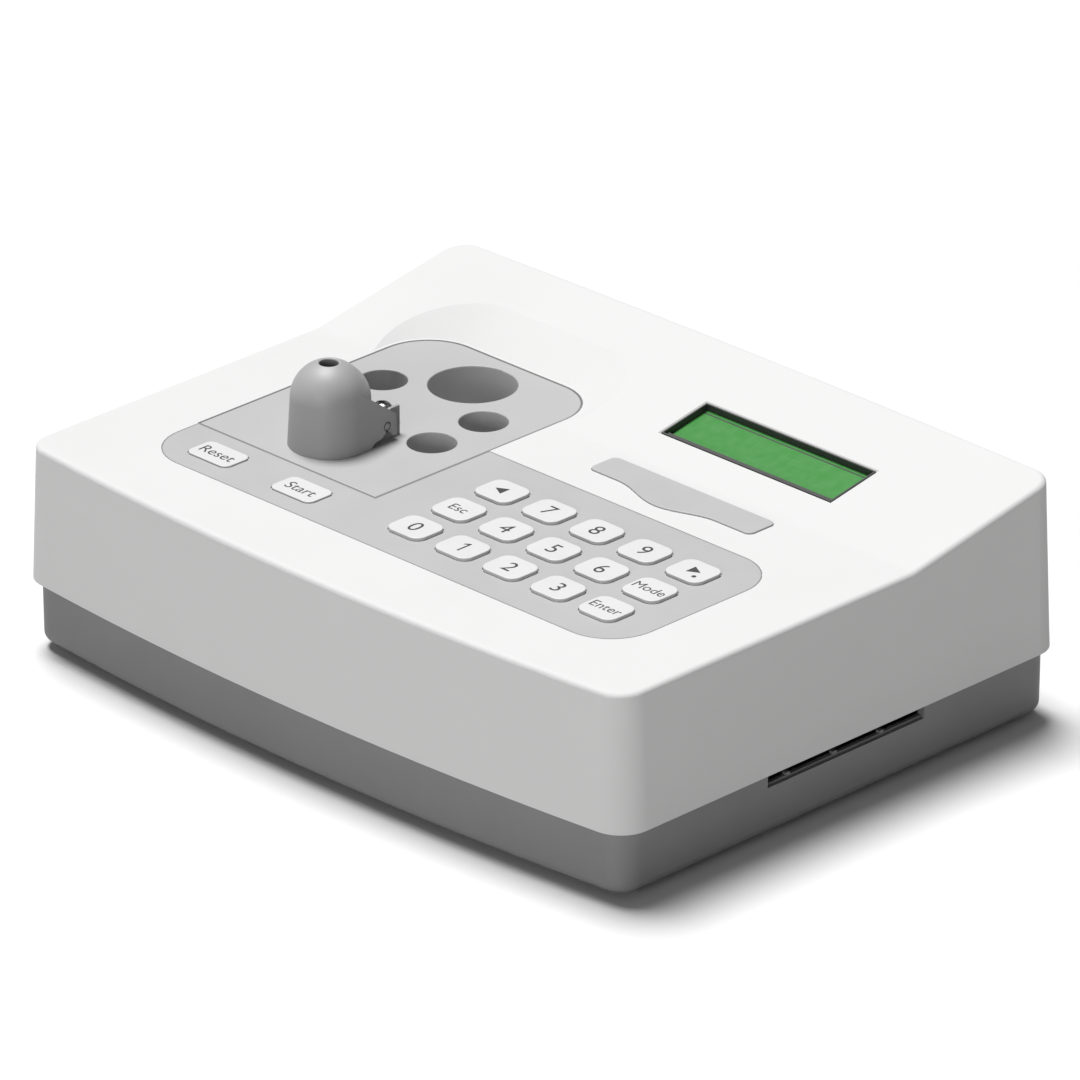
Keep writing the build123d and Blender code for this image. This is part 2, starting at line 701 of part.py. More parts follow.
with BuildPart() as photodetector:
    with Locations((block_high[0], DOME_Y, OPTICAL_Z)):
        add(optic(20), rotation=(0, 0, 180))
save(photodetector.part, "photodetector")

with BuildPart() as optic_boards:
    for board_x in (block_low[0] - 1.6, block_high[0]):
        add(box_between((board_x, DOME_Y - 7, OPTICAL_Z - 8), (board_x + 1.6, DOME_Y + 7, OPTICAL_Z + 8)))
save(optic_boards.part, "optic_boards")

# ---------------------------------------------------------------- magnetic stirrer
with BuildPart() as stirrer_motor:
    with BuildSketch(Plane.XY.offset(MOTOR_Z[0])):
        with Locations((BLOCK_X, DOME_Y)):
            Circle(MOTOR_R)
    extrude(amount=MOTOR_Z[1] - MOTOR_Z[0])
    fillet(stirrer_motor.edges().group_by(Axis.Z)[-1], 1)
    with BuildSketch(Plane.XY.offset(MOTOR_Z[1])):
        with Locations((BLOCK_X, DOME_Y)):
            Circle(3)
    extrude(amount=1.5)
    with BuildSketch(Plane.XY.offset(SHAFT_BOTTOM)):
        with Locations((BLOCK_X, DOME_Y)):
            Circle(1.05)
    extrude(amount=12, mode=Mode.SUBTRACT)
save(stirrer_motor.part, "stirrer_motor")

with BuildPart() as stirrer_rotor:
    with BuildSketch(Plane.XY.offset(ROTOR_Z[0])):
        with Locations((BLOCK_X, DOME_Y)):
            Circle(ROTOR_R)
    extrude(amount=ROTOR_Z[1] - ROTOR_Z[0])
    chamfer(stirrer_rotor.edges().group_by(Axis.Z)[-1], 0.4)
    with BuildSketch(Plane.XY.offset(SHAFT_BOTTOM + 0.5)):
        with Locations((BLOCK_X, DOME_Y)):
            Circle(1)
    extrude(amount=ROTOR_Z[0] - SHAFT_BOTTOM - 0.5)
    with BuildSketch(Plane.XY.offset(ROTOR_Z[0] + 1)):
        with Locations((BLOCK_X - MAGNET_X, DOME_Y), (BLOCK_X + MAGNET_X, DOME_Y)):
            Circle(MAGNET_R)
    extrude(amount=3, mode=Mode.SUBTRACT)
save(stirrer_rotor.part, "stirrer_rotor")

with BuildPart() as stirrer_magnets:
    with BuildSketch(Plane.XY.offset(ROTOR_Z[0] + 1)):
        with Locations((BLOCK_X - MAGNET_X, DOME_Y), (BLOCK_X + MAGNET_X, DOME_Y)):
            Circle(MAGNET_R)
    extrude(amount=2.3)
save(stirrer_magnets.part, "stirrer_magnets")

# ---------------------------------------------------------------- light shield and hinge
dome_section = Plane(origin=(BLOCK_X, DOME_Y, DECK_Z), x_dir=(1, 0, 0), z_dir=(0, -1, 0))
hinge_side = Plane(origin=(BLOCK_X, DOME_Y, DECK_Z), x_dir=(0, 1, 0), z_dir=(1, 0, 0))
pin_y = PIN_Y - DOME_Y
pin_z = PIN_Z - DECK_Z
dome_bore = DOME_R - DOME_WALL
port_base = DOME_SHOULDER + (dome_bore**2 - PORT_COLLAR_R**2) ** 0.5


def dome_profile(inset, flat_top):
    """Half section of the dome, drawn in by inset, with its top cut flat at a radius of flat_top."""
    low, high = DOME_R_LOW - inset, DOME_R - inset
    top = DOME_SHOULDER + (high**2 - flat_top**2) ** 0.5
    with BuildSketch() as section:
        with BuildLine():
            Polyline((flat_top, top), (0, top), (0, DOME_GAP), (low, DOME_GAP), (high, DOME_SHOULDER))
            ThreePointArc(
                (high, DOME_SHOULDER),
                (high * cos(radians(40)), DOME_SHOULDER + high * sin(radians(40))),
                (flat_top, top),
            )
        make_face()
    return section.sketch


def dome_solid(inset, flat_top):
    """The dome drawn in by inset: a round body joined to a copy that leans back over the hinge."""
    with BuildPart() as body:
        with BuildSketch(dome_section):
            add(dome_profile(inset, flat_top))
        revolve(axis=Axis((BLOCK_X, DOME_Y, 0), (0, 0, 1)))
    with BuildPart() as leaning:
        with Locations((0, DOME_LEAN[0], DOME_LEAN[1])):
            add(body.part)
        with BuildSketch(Plane.XY.offset(DECK_Z + DOME_LEAN[1])):
            with Locations((BLOCK_X, DOME_Y)):
                Circle(2 * DOME_R_LOW)
        extrude(amount=DOME_GAP - DOME_LEAN[1], mode=Mode.SUBTRACT)
        # room for the bracket between the cheeks
        with BuildSketch(Plane.XY.offset(DECK_Z)):
            with Locations((BLOCK_X, DOME_Y + DOME_R_LOW)):
                Rectangle(2 * CHEEK_IN, 2 * DOME_R_LOW)
        extrude(amount=LEAN_FROM + inset, mode=Mode.SUBTRACT)
    with BuildPart() as pair:
        add(body.part)
        add(leaning.part)
    return pair.part


# two cheeks that carry on the sides of the dome, each with a keyhole slot that snaps over its pin
with BuildPart() as cheeks:
    with BuildSketch(dome_section):
        add(dome_profile(CHEEK_INSET, PORT_R))
    extrude(amount=-CHEEK_END)
    mirror(about=hinge_side)
    with BuildSketch(hinge_side) as side_view:
        with BuildLine():
            Polyline(
                (0, DOME_GAP),
                (4.6, DOME_GAP),
                (6.5, 1.5),
                (8.8, 1.85),
                (pin_y - 0.9, 3.1),
                (pin_y - 0.9, pin_z),
                (pin_y + 0.8, pin_z),
                (pin_y + 0.8, 3.0),
                (13.4, 1.6),
                (CHEEK_END, 1.5),
                (CHEEK_END, CHEEK_TOP[1]),
                (0, CHEEK_TOP[0]),
                (0, DOME_GAP),
            )
        make_face()
        back_corner = hinge_side.from_local_coords((CHEEK_END, CHEEK_TOP[1]))
        fillet(side_view.vertices().sort_by_distance(back_corner)[0], 1.2)
        with Locations((pin_y, pin_z)):
            Circle(PIN_R + PIN_PLAY, mode=Mode.SUBTRACT)
    extrude(amount=DOME_R_LOW + 1, both=True, mode=Mode.INTERSECT)
    with BuildSketch(hinge_side):
        with Locations((CHEEK_END / 2, CHEEK_TOP[0] / 2)):
            Rectangle(CHEEK_END + 2, CHEEK_TOP[0] + 2)
    extrude(amount=CHEEK_IN, both=True, mode=Mode.SUBTRACT)

with BuildPart() as light_shield:
    add(dome_solid(0, PORT_R))
    add(cheeks.part)
    add(dome_solid(DOME_WALL, PORT_COLLAR_R), mode=Mode.SUBTRACT)
    with BuildSketch(Plane.XY.offset(DECK_Z + DOME_SHOULDER)):
        with Locations((BLOCK_X, DOME_Y)):
            Circle(PORT_R)
    extrude(amount=DOME_R, mode=Mode.SUBTRACT)
    rim_z = DECK_Z + DOME_SHOULDER + DOME_R - 1.5
    port_rim = [e for e in light_shield.edges().filter_by(GeomType.CIRCLE) if e.center().Z > rim_z]
    fillet(port_rim, 0.5)
save(light_shield.part, "light_shield")

with BuildPart() as hinge_bracket:
    # saddle with a round tongue for the screw
    with BuildSketch(Plane.XY.offset(DECK_Z)):
        with Locations((BLOCK_X, (DOME_Y + BRACKET_BACK) / 2)):
            Rectangle(2 * BRACKET_OUT, BRACKET_BACK - DOME_Y)
        with Locations((BLOCK_X, BRACKET_SCREW_Y)):
            Circle(4.2)
    extrude(amount=SADDLE_H)
    # side walls with the pivot ears
    for wall_x in (-BRACKET_OUT, BRACKET_OUT - BRACKET_T):
        with BuildSketch(hinge_side.offset(wall_x)):
            with BuildLine():
                Polyline(
                    (9.6, 0),
                    (9.6, 6.2),
                    (12.3, 7.55),
                    (14.6, BRACKET_TOP),
                    (BRACKET_BACK - DOME_Y, BRACKET_TOP),
                    (BRACKET_BACK - DOME_Y, 0),
                    (9.6, 0),
                )
            make_face()
            with Locations((pin_y, pin_z)):
                Circle(2.9)
        extrude(amount=BRACKET_T)
    with BuildSketch(Plane.XY.offset(DECK_Z - 1)):
        with Locations((BLOCK_X, DOME_Y)):
            Circle(DOME_R_LOW + 0.4)
    extrude(amount=20, mode=Mode.SUBTRACT)
    with BuildSketch(Plane.YZ.offset(BLOCK_X - BRACKET_OUT)):
        with Locations((PIN_Y, PIN_Z)):
            Circle(PIN_R)
    extrude(amount=2 * BRACKET_OUT, mode=Mode.SUBTRACT)
    with BuildSketch(Plane.XY.offset(DECK_Z)):
        with Locations((BLOCK_X, BRACKET_SCREW_Y)):
            Circle(1.5)
    extrude(amount=10, mode=Mode.SUBTRACT)
save(hinge_bracket.part, "hinge_bracket")

# short pins with a slimmer nose, pressed into the ears
pin_root = BRACKET_OUT - BRACKET_T - 0.5
pin_step = DOME_R_LOW - (DOME_R_LOW - DOME_R) * pin_z / DOME_SHOULDER - 0.15 - PIN_NOSE
with BuildPart() as hinge_pins:
    with BuildSketch(hinge_side.offset(pin_root)):
        with Locations((pin_y, pin_z)):
            Circle(PIN_R)
    extrude(amount=pin_step - pin_root)
    with BuildSketch(hinge_side.offset(pin_step)):
        with Locations((pin_y, pin_z)):
            Circle(PIN_NOSE_R)
    extrude(amount=PIN_NOSE)
    mirror(about=hinge_side)
save(hinge_pins.part, "hinge_pins")

with BuildPart() as bracket_screw:
    with Locations((BLOCK_X, BRACKET_SCREW_Y, DECK_Z + SADDLE_H)):
        add(screw(1.5, 11, 3.0, 2.4))
save(bracket_screw.part, "bracket_screw")

# ---------------------------------------------------------------- keypad
with BuildPart() as keypad_panel:
    with BuildSketch(Plane.XY.offset(DECK_Z - PANEL_T)):
        add(panel_outline(0))
        add(key_openings(KEY_GAP), mode=Mode.SUBTRACT)
    extrude(amount=PANEL_T)
save(keypad_panel.part, "keypad_panel")


def key_cap(size, corner, rise, travel):
    """Key cap about its own centre: rounded cap, flange under the panel and a stem."""
    flange_top = DECK_Z - PANEL_T - 0.05
    with BuildPart() as cap:
        with BuildSketch(Plane.XY.offset(flange_top)):
            RectangleRounded(*size, corner)
        extrude(amount=DECK_Z + rise - flange_top)
        fillet(cap.edges().group_by(Axis.Z)[-1], KEY_EDGE_R)
        with BuildSketch(Plane.XY.offset(flange_top - FLANGE_T)):
            RectangleRounded(size[0] + 2 * KEY_FLANGE, size[1] + 2 * KEY_FLANGE, corner + KEY_FLANGE)
        extrude(amount=FLANGE_T)
        with BuildSketch(Plane.XY.offset(PLUNGER_TOP + travel + 0.1)):
            Circle(2)
        extrude(amount=flange_top - FLANGE_T - PLUNGER_TOP - travel - 0.1)
    return cap.part


for name, place in key_places.items():
    with BuildPart() as key:
        with Locations(place):
            add(key_cap(KEY_SIZE, KEY_R, KEY_RISE, KEY_TRAVEL))
    save(key.part, name)

for name, place in WIDE_KEYS.items():
    with BuildPart() as key:
        with Locations(place):
            add(key_cap(WIDE_KEY_SIZE, WIDE_KEY_R, WIDE_KEY_RISE, WIDE_KEY_TRAVEL))
    save(key.part, name)

with BuildPart() as key_switches:
    for place in [*key_places.values(), *WIDE_KEYS.values()]:
        with BuildSketch(Plane.XY.offset(KEY_BOARD_Z[1])):
            with Locations(place):
                Rectangle(SWITCH_SIZE[0], SWITCH_SIZE[1])
        extrude(amount=SWITCH_SIZE[2])
        with BuildSketch(Plane.XY.offset(KEY_BOARD_Z[1] + SWITCH_SIZE[2])):
            with Locations(place):
                Circle(PLUNGER_R)
        extrude(amount=PLUNGER_TOP - KEY_BOARD_Z[1] - SWITCH_SIZE[2])
save(key_switches.part, "key_switches")

with BuildPart() as key_board:
    add(box_between((-18, -59, KEY_BOARD_Z[0]), (91, 1, KEY_BOARD_Z[1])))
    add(box_between((-90, -59, KEY_BOARD_Z[0]), (-18, -42, KEY_BOARD_Z[1])))
    with BuildSketch(Plane.XY.offset(KEY_BOARD_Z[0])):
        with Locations(*KEY_BOARD_BOSSES):
            Circle(1.2)
    extrude(amount=2, mode=Mode.SUBTRACT)
save(key_board.part, "key_board")

# ---------------------------------------------------------------- display
bezel_front = -BEZEL_DROP
glass_front = bezel_front - GLASS_DROP
rim_outer = (WINDOW[0] - 2 * RIM_GAP, WINDOW[1] - 2 * RIM_GAP)
view = (rim_outer[0] - 2 * RIM_T, rim_outer[1] - 2 * RIM_T)

with BuildPart() as display_bezel:
    with BuildSketch(display_plane.offset(bezel_front)):
        Rectangle(BEZEL[0], BEZEL[1])
    extrude(amount=-BEZEL[2])
    # rim that lines the window, with a ledge along its front
    with BuildSketch(display_plane.offset(bezel_front)):
        Rectangle(*rim_outer)
    extrude(amount=BEZEL_DROP - RIM_DROP)
    with BuildSketch(display_plane.offset(-RIM_DROP)):
        Rectangle(*view)
    extrude(amount=-BEZEL[2] - BEZEL_DROP, mode=Mode.SUBTRACT)
    with BuildSketch(display_plane.offset(glass_front + 0.05)):
        Rectangle(GLASS[0] + 0.4, GLASS[1] + 0.4)
    extrude(amount=-BEZEL[2], mode=Mode.SUBTRACT)
    with BuildSketch(display_plane.offset(glass_front + 0.05)):
        with Locations((view[0] / 2 - LEDGE[0] / 2, LEDGE[1] / 2 - view[1] / 2)):
            Rectangle(*LEDGE)
    extrude(amount=-LEDGE_DROP - glass_front - 0.05)
save(display_bezel.part, "display_bezel")

with BuildPart() as display_glass:
    with BuildSketch(display_plane.offset(glass_front)):
        Rectangle(GLASS[0], GLASS[1])
    extrude(amount=-GLASS[2])
save(display_glass.part, "display_glass")

with BuildPart() as display_backlight:
    with BuildSketch(display_plane.offset(glass_front - GLASS[2] - 0.05)):
        Rectangle(GLASS[0], GLASS[1])
    extrude(amount=-(BEZEL[2] + BEZEL_DROP + glass_front - GLASS[2] - 0.1))
save(display_backlight.part, "display_backlight")

board_front = bezel_front - BEZEL[2]
with BuildPart() as display_board:
    with BuildSketch(display_plane.offset(board_front)):
        Rectangle(DISPLAY_BOARD[0], DISPLAY_BOARD[1])
        with GridLocations(*DISPLAY_HOLES, 2, 2):
            Circle(1.3, mode=Mode.SUBTRACT)
    extrude(amount=-DISPLAY_BOARD[2])
save(display_board.part, "display_board")

with BuildPart() as nameplate:
    with BuildSketch(Plane.XY.offset(DECK_Z - NAME_SINK)):
        add(name_outline(0))
    extrude(amount=NAME_T)
    fillet(nameplate.faces().sort_by(Axis.Z)[-1].edges(), 0.3)
save(nameplate.part, "nameplate")

# ---------------------------------------------------------------- main board
board_top = MAIN_BOARD_Z[1]

with BuildPart() as main_board:
    add(
        box_between(
            (MAIN_BOARD_X[0], MAIN_BOARD_Y[0], MAIN_BOARD_Z[0]),
            (MAIN_BOARD_X[1], MAIN_BOARD_Y[1], board_top),
        )
    )
    with BuildSketch(Plane.XY.offset(MAIN_BOARD_Z[0])):
        with Locations(*BOARD_POSTS):
            Circle(1.5)
    extrude(amount=2, mode=Mode.SUBTRACT)
save(main_board.part, "main_board")

board_screw = screw(1.0, 5, 2.0, 1.3)
with BuildPart() as main_board_screws:
    with Locations(*[(x, y, board_top) for x, y in BOARD_POSTS]):
        add(board_screw)
with BuildPart() as key_board_screws:
    with Locations(*[(x, y, KEY_BOARD_Z[0]) for x, y in KEY_BOARD_BOSSES]):
        add(board_screw, rotation=(180, 0, 0))
with BuildPart(display_plane.offset(board_front - DISPLAY_BOARD[2])) as display_screws:
    with GridLocations(*DISPLAY_HOLES, 2, 2):
        add(board_screw, rotation=(180, 0, 0))
with BuildPart() as board_screws:
    add([main_board_screws.part, key_board_screws.part, display_screws.part])
save(board_screws.part, "board_screws")

with BuildPart() as board_components:
    for x, y, w, d, h in CHIPS:
        add(box_between((x - w / 2, y - d / 2, board_top), (x + w / 2, y + d / 2, board_top + h)))
    with BuildSketch(Plane.XY.offset(board_top)):
        with Locations((50, 52), (62, 52), (30, 30)):
            Circle(5)
    extrude(amount=16)
    fillet(board_components.edges().group_by(Axis.Z)[-1], 0.8)
save(board_components.part, "board_components")

with BuildPart() as heat_sink:
    add(box_between((72, 40, board_top), (92, 43, board_top + 22)))
    for fin in range(5):
        add(box_between((72 + fin * 4.625, 43, board_top), (73.5 + fin * 4.625, 52, board_top + 22)))
save(heat_sink.part, "heat_sink")

voltage_regulator = box_between((77, 35.4, board_top + 3), (87, 40, board_top + 18))
save(voltage_regulator, "voltage_regulator")

with BuildPart() as board_connectors:
    for name, (x, y) in CONNECTORS.items():
        half = (3, 8) if name == "block" else (8, 3)
        add(box_between((x - half[0], y - half[1], board_top), (x + half[0], y + half[1], board_top + 3)))
save(board_connectors.part, "board_connectors")

# ---------------------------------------------------------------- flat cables
ribbon_foot = board_top + 3
display_back = display_plane.offset(board_front - DISPLAY_BOARD[2]).origin
display_ribbon_y = 50.0
display_ribbon_z = (
    display_back.Z + (display_ribbon_y - display_back.Y) * tan(radians(SLOPE)) - 0.6 * tan(radians(SLOPE))
)
display_ribbon = ribbon(
    Plane.YZ.offset(CONNECTORS["display"][0] - 7),
    [
        (display_ribbon_y, display_ribbon_z),
        (display_ribbon_y, 32),
        (CONNECTORS["display"][1], 23),
        (CONNECTORS["display"][1], ribbon_foot),
    ],
    5,
    14,
    0.8,
)
save(display_ribbon, "display_ribbon")

keypad_y = CONNECTORS["keypad"][1]
keypad_ribbon = ribbon(
    Plane.YZ.offset(CONNECTORS["keypad"][0] - 6),
    [(-29, KEY_BOARD_Z[0]), (-29, 32), (keypad_y, 23), (keypad_y, ribbon_foot)],
    5,
    12,
    0.8,
)
save(keypad_ribbon, "keypad_ribbon")

block_ribbon = ribbon(
    Plane.XZ.offset(-(DOME_Y - 4)),
    [
        (block_high[0] + 1.6, OPTICAL_Z),
        (-14, OPTICAL_Z),
        (-14, 28),
        (CONNECTORS["block"][0], 20),
        (CONNECTORS["block"][0], ribbon_foot),
    ],
    3.5,
    -8,
    0.8,
)
save(block_ribbon, "block_ribbon")

# ---------------------------------------------------------------- rear panel
with BuildPart() as rear_panel:
    with BuildSketch(Plane.XZ.offset(-REAR_PANEL_Y[0])):
        with Locations((0, (REAR_PANEL_Z[0] + REAR_PANEL_Z[1]) / 2)):
            Rectangle(2 * REAR_PANEL_X, REAR_PANEL_Z[1] - REAR_PANEL_Z[0])
    extrude(amount=REAR_PANEL_Y[0] - REAR_PANEL_Y[1])
    with BuildSketch(Plane.XZ.offset(-REAR_PANEL_Y[1])):
        with Locations((SWITCH_X, CONNECTOR_Z)):
            Rectangle(13.2, 19.2)
        with Locations((INLET_X, CONNECTOR_Z)):
            Circle(4.6)
        with Locations((SERIAL_X, CONNECTOR_Z)):
            Rectangle(19.2, 10.2)
        with Locations((SERIAL_X - 12.5, CONNECTOR_Z), (SERIAL_X + 12.5, CONNECTOR_Z)):
            Circle(1.5)
    extrude(amount=REAR_PANEL_Y[1] - REAR_PANEL_Y[0], mode=Mode.SUBTRACT)
save(rear_panel.part, "rear_panel")

with BuildPart() as power_inlet:
    add(box_between((INLET_X - 7, 68, CONNECTOR_Z - 6), (INLET_X + 7, REAR_PANEL_Y[0], CONNECTOR_Z + 6)))
    with BuildSketch(Plane.XZ.offset(-REAR_PANEL_Y[0])):
        with Locations((INLET_X, CONNECTOR_Z)):
            Circle(4.5)
    extrude(amount=-4.6)
    with BuildSketch(Plane.XZ.offset(-REAR_PANEL_Y[0] - 4.6)):
        with Locations((INLET_X, CONNECTOR_Z)):
            Circle(2.8)
    extrude(amount=10, mode=Mode.SUBTRACT)
    # centre contact, a loose pin in the bore
    with BuildSketch(Plane.XZ.offset(-REAR_PANEL_Y[0] + 5.3)):
        with Locations((INLET_X, CONNECTOR_Z)):
            Circle(1.0)
    extrude(amount=-9)
save(power_inlet.part, "power_inlet")

with BuildPart() as serial_port:
    with BuildSketch(Plane.XZ.offset(-71)):
        with Locations((SERIAL_X, CONNECTOR_Z)):
            Rectangle(19, 10)
    extrude(amount=71 - REAR_PANEL_Y[1])
    with BuildSketch(Plane.XZ.offset(-REAR_PANEL_Y[1])):
        with Locations((SERIAL_X, CONNECTOR_Z)):
            RectangleRounded(30.8, 12.5, 1.5)
    extrude(amount=-0.8)
    with BuildSketch(Plane.XZ.offset(-REAR_PANEL_Y[1] - 0.8)) as shell_ring:
        with Locations((SERIAL_X, CONNECTOR_Z)):
            Trapezoid(17.6, 8.6, 80)
        fillet(shell_ring.vertices(), 1.6)
    extrude(amount=-3.4)
    with BuildSketch(Plane.XZ.offset(-REAR_PANEL_Y[1] - 4.2)) as socket_holes:
        with Locations((SERIAL_X, CONNECTOR_Z + 1.4)):
            with GridLocations(2.76, 1, 5, 1):
                Circle(0.55)
        with Locations((SERIAL_X, CONNECTOR_Z - 1.4)):
            with GridLocations(2.76, 1, 4, 1):
                Circle(0.55)
    extrude(amount=4, mode=Mode.SUBTRACT)
    with BuildSketch(Plane.XZ.offset(-REAR_PANEL_Y[1] - 0.8)):
        with Locations((SERIAL_X - 12.5, CONNECTOR_Z), (SERIAL_X + 12.5, CONNECTOR_Z)):
            Circle(1.5)
    extrude(amount=1, mode=Mode.SUBTRACT)
save(serial_port.part, "serial_port")

with BuildPart() as serial_studs:
    with BuildSketch(Plane.XZ.offset(-REAR_PANEL_Y[1] - 0.8)):
        with Locations((SERIAL_X - 12.5, CONNECTOR_Z), (SERIAL_X + 12.5, CONNECTOR_Z)):
            RegularPolygon(2.7, 6)
    extrude(amount=-3)
    with BuildSketch(Plane.XZ.offset(-REAR_PANEL_Y[0])):
        with Locations((SERIAL_X - 12.5, CONNECTOR_Z), (SERIAL_X + 12.5, CONNECTOR_Z)):
            Circle(1.5)
    extrude(amount=-2.8)
save(serial_studs.part, "serial_studs")

with BuildPart() as switch_frame:
    with BuildSketch(Plane.XZ.offset(-REAR_PANEL_Y[1])):
        with Locations((SWITCH_X, CONNECTOR_Z)):
            RectangleRounded(15, 21, 1)
    extrude(amount=-1.5)
    add(
        box_between(
            (SWITCH_X - 6.5, 70, CONNECTOR_Z - 9.5), (SWITCH_X + 6.5, REAR_PANEL_Y[1], CONNECTOR_Z + 9.5)
        )
    )
    with BuildSketch(Plane.XZ.offset(-REAR_PANEL_Y[1] - 1.5)):
        with Locations((SWITCH_X, CONNECTOR_Z)):
            Rectangle(11.4, 17.4)
    extrude(amount=9, mode=Mode.SUBTRACT)
save(switch_frame.part, "switch_frame")

with BuildPart() as power_rocker:
    with BuildSketch(Plane.YZ.offset(SWITCH_X - 5.4)):
        with BuildLine():
            Polyline(
                (ROCKER_Y - 3.0, CONNECTOR_Z - 4),
                (ROCKER_Y + 1.0, CONNECTOR_Z - 8.0),
                (ROCKER_Y + 4.1, CONNECTOR_Z - 7.6),
                (ROCKER_Y + 3.0, CONNECTOR_Z),
                (ROCKER_Y + 4.1, CONNECTOR_Z + 7.6),
                (ROCKER_Y + 1.0, CONNECTOR_Z + 8.0),
                (ROCKER_Y - 3.0, CONNECTOR_Z + 4),
                (ROCKER_Y - 3.0, CONNECTOR_Z - 4),
            )
        make_face()
    extrude(amount=10.8)
    fillet(power_rocker.faces().sort_by(Axis.Y)[-2:].edges().filter_by(Axis.X, reverse=True), 0.5)
rocker_pivot = Axis((SWITCH_X, ROCKER_Y, CONNECTOR_Z), (1, 0, 0))
save(power_rocker.part.rotate(rocker_pivot, ROCKER_TILT), "power_rocker")
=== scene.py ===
"""Benchtop coagulation analyser: materials, key legends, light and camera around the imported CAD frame."""

import json
import math

import bpy
from mathutils import Matrix, Vector


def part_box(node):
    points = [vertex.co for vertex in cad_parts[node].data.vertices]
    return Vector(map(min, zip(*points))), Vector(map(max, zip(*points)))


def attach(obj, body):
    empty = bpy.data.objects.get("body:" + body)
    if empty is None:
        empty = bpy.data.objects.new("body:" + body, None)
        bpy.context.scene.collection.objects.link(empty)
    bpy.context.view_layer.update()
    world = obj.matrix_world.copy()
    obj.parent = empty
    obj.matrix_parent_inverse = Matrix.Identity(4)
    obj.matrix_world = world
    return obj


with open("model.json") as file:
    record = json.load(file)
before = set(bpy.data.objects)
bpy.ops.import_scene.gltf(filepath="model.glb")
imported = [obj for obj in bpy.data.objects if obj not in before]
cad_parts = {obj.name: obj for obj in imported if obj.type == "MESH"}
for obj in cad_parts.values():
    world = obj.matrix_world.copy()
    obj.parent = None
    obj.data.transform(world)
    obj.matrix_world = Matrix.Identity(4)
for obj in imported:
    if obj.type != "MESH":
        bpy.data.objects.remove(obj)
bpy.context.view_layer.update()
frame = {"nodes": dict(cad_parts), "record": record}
MM = 0.001
LIFT = 0.005 * MM
GLASS_MM = 1.1

# ---------------------------------------------------------------- camera
AZIMUTH = math.radians(45.044)
ELEVATION = math.radians(24.876)
DISTANCE = 3.0954
TARGET_RIGHT = 0.00196
TARGET_UP = 0.0050
TARGET_Z = 0.03776
FOCAL_MM = 375.13
SENSOR_MM = 36.0


def make_camera():
    """Long lens from the front right, a little above the bench."""
    right = Vector((math.cos(AZIMUTH), math.sin(AZIMUTH), 0))
    back = Vector(
        (
            math.sin(AZIMUTH) * math.cos(ELEVATION),
            -math.cos(AZIMUTH) * math.cos(ELEVATION),
            math.sin(ELEVATION),
        )
    )
    up = back.cross(right)
    target = right * TARGET_RIGHT + up * TARGET_UP + Vector((0, 0, TARGET_Z))
    data = bpy.data.cameras.new("camera")
    data.sensor_width = SENSOR_MM
    data.lens = FOCAL_MM
    data.clip_start = 0.05
    data.clip_end = 50
    camera = bpy.data.objects.new("camera", data)
    turn = Matrix((right, up, back)).transposed().to_4x4()
    camera.matrix_world = Matrix.Translation(target + back * DISTANCE) @ turn
    bpy.context.scene.collection.objects.link(camera)
    bpy.context.scene.camera = camera


make_camera()


# ---------------------------------------------------------------- materials
class Nodes:
    """A material's node tree, with short ways to add and join nodes."""

    def __init__(self, name):
        self.material = bpy.data.materials.new(name)
        self.material.use_nodes = True
        self.tree = self.material.node_tree
        self.shader = self.tree.nodes["Principled BSDF"]
        self.place = self.tree.nodes.new("ShaderNodeTexCoord").outputs["Object"]

    def add(self, kind, **inputs):
        node = self.tree.nodes.new(kind)
        for key, value in inputs.items():
            self.put(node.inputs[key.replace("_", " ")], value)
        return node

    def put(self, socket, value):
        if isinstance(value, bpy.types.NodeSocket):
            self.tree.links.new(value, socket)
        else:
            socket.default_value = value

    def set(self, name, value):
        self.put(self.shader.inputs[name], value)

    def stretched(self, scale, rotation=(0, 0, 0)):
        node = self.add("ShaderNodeMapping", Vector=self.place)
        node.inputs["Scale"].default_value = scale
        node.inputs["Rotation"].default_value = rotation
        return node.outputs["Vector"]

    def noise(self, scale, detail=3.0, rough=0.5, vector=None):
        place = vector or self.place
        node = self.add("ShaderNodeTexNoise", Vector=place, Scale=scale, Detail=detail, Roughness=rough)
        return node.outputs["Fac"]

    def ramp(self, value, low, high, start=0.35, end=0.65):
        node = self.add("ShaderNodeValToRGB", Fac=value)
        node.color_ramp.elements[0].position = start
        node.color_ramp.elements[0].color = (*low, 1)
        node.color_ramp.elements[1].position = end
        node.color_ramp.elements[1].color = (*high, 1)
        return node.outputs["Color"]

    def span(self, value, low, high):
        node = self.add("ShaderNodeMapRange", Value=value, To_Min=low, To_Max=high)
        node.inputs["From Min"].default_value = 0.3
        node.inputs["From Max"].default_value = 0.7
        return node.outputs["Result"]

    def bump(self, height, depth, strength):
        node = self.add("ShaderNodeBump", Height=height, Distance=depth, Strength=strength)
        return node.outputs["Normal"]


def shade(color, factor):
    """The colour made lighter or darker by a factor."""
    return tuple(min(1.0, c * factor) for c in color)


def moulded(name, color, rough, grain_mm=0.35, depth_mm=0.012, vary=0.03, gloss=0.5):
    """Moulded plastic with a fine spark-eroded grain and faint handling marks in its sheen."""
    n = Nodes(name)
    cloud = n.noise(26, 4, 0.6)
    n.set("Base Color", n.ramp(cloud, shade(color, 1 - vary), shade(color, 1 + vary)))
    n.set("Roughness", n.span(n.noise(70, 5, 0.65), rough - 0.05, rough + 0.06))
    n.set("Normal", n.bump(n.noise(1 / (grain_mm * MM), 2, 0.5), depth_mm * MM, 0.6))
    n.shader.inputs["IOR"].default_value = 1.5
    n.shader.inputs["Specular IOR Level"].default_value = gloss
    return n.material


